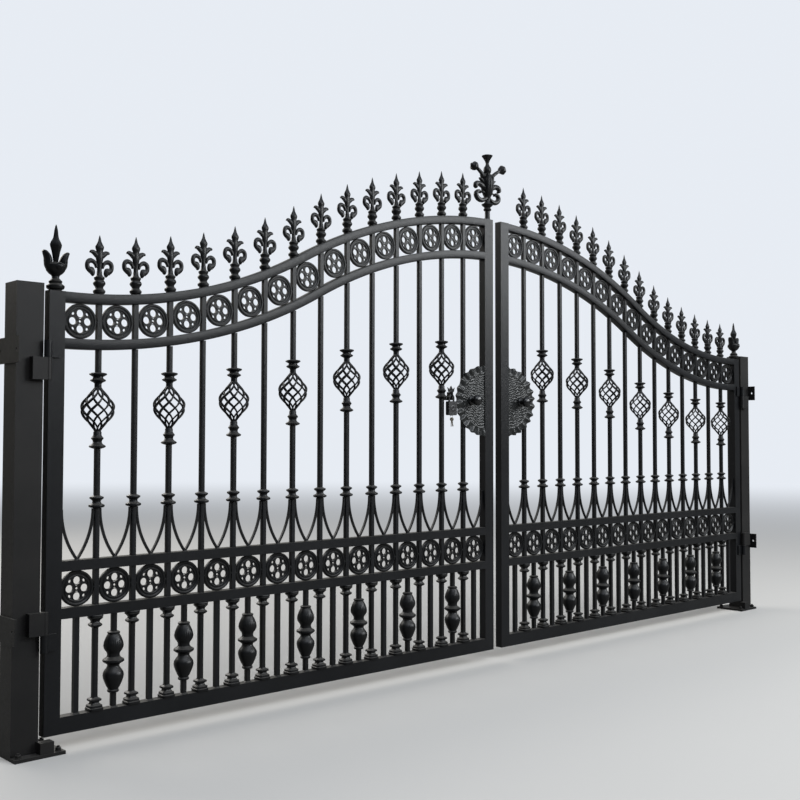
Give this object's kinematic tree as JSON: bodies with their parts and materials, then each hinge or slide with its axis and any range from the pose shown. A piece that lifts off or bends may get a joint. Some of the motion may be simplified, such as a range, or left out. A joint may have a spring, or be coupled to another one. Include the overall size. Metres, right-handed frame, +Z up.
{
  "type": "double swing driveway gate",
  "caption": "Arched pair of wrought iron driveway gate leaves with pickets, basket bars, quatrefoil ring bands and spear finials, hinged on two square steel posts.",
  "frame": {"origin": "centre of the left post on the underside of its base plate", "axes": "+X along the closed gate from the left post to the right one, -Y to the street, +Z up"},
  "size_m": [5.018, 0.196, 2.5698],
  "materials": {
    "black_iron": "satin black paint on mild steel tube and bar",
    "black_casting": "satin black paint on cast iron",
    "post_paint": "satin black paint on square steel tube, slightly weathered",
    "dark_knob": "semi-gloss black pull knobs",
    "padlock_steel": "dull grey steel padlock"
  },
  "bodies": {
    "posts": {"left_post": "post_paint", "left_base_plate": "post_paint", "left_wall_plates": "post_paint", "left_hinge_brackets": "post_paint", "right_post": "post_paint", "right_base_plate": "post_paint", "right_wall_plates": "post_paint", "right_hinge_brackets": "post_paint"},
    "left_leaf": {"left_hinge_stile": "black_iron", "left_meeting_stile": "black_iron", "left_bottom_rail": "black_iron", "left_band_rails": "black_iron", "left_arch_rails": "black_iron", "left_lower_pickets": "black_iron", "left_infill_bars": "black_iron", "left_balusters": "black_iron", "left_dividers": "black_iron", "left_band_rings": "black_casting", "left_arch_rings": "black_casting", "left_tall_pickets": "black_iron", "left_basket_pickets": "black_iron", "left_arch_straps": "black_iron", "left_spear_finials": "black_casting", "left_tulip_finial": "black_casting", "left_lock_plate": "black_casting", "left_pull_knob": "dark_knob", "left_hinge_knuckles": "black_iron", "left_meeting_finial": "black_casting", "left_lock_staple": "black_casting", "left_padlock": "padlock_steel"},
    "right_leaf": {"right_hinge_stile": "black_iron", "right_meeting_stile": "black_iron", "right_bottom_rail": "black_iron", "right_band_rails": "black_iron", "right_arch_rails": "black_iron", "right_lower_pickets": "black_iron", "right_infill_bars": "black_iron", "right_balusters": "black_iron", "right_dividers": "black_iron", "right_band_rings": "black_casting", "right_arch_rings": "black_casting", "right_tall_pickets": "black_iron", "right_basket_pickets": "black_iron", "right_arch_straps": "black_iron", "right_spear_finials": "black_casting", "right_tulip_finial": "black_casting", "right_lock_plate": "black_casting", "right_pull_knob": "dark_knob", "right_hinge_knuckles": "black_iron"}
  },
  "joints": [
    {"name": "left_leaf_swing", "type": "hinge", "parent": "posts", "child": "left_leaf", "pos_m": [0.06, -0.065, 0], "axis": [0, 0, -1], "range_deg": [0, 90]},
    {"name": "right_leaf_swing", "type": "hinge", "parent": "posts", "child": "right_leaf", "pos_m": [4.842, -0.065, 0], "axis": [0, 0, 1], "range_deg": [0, 90]}
  ]
}
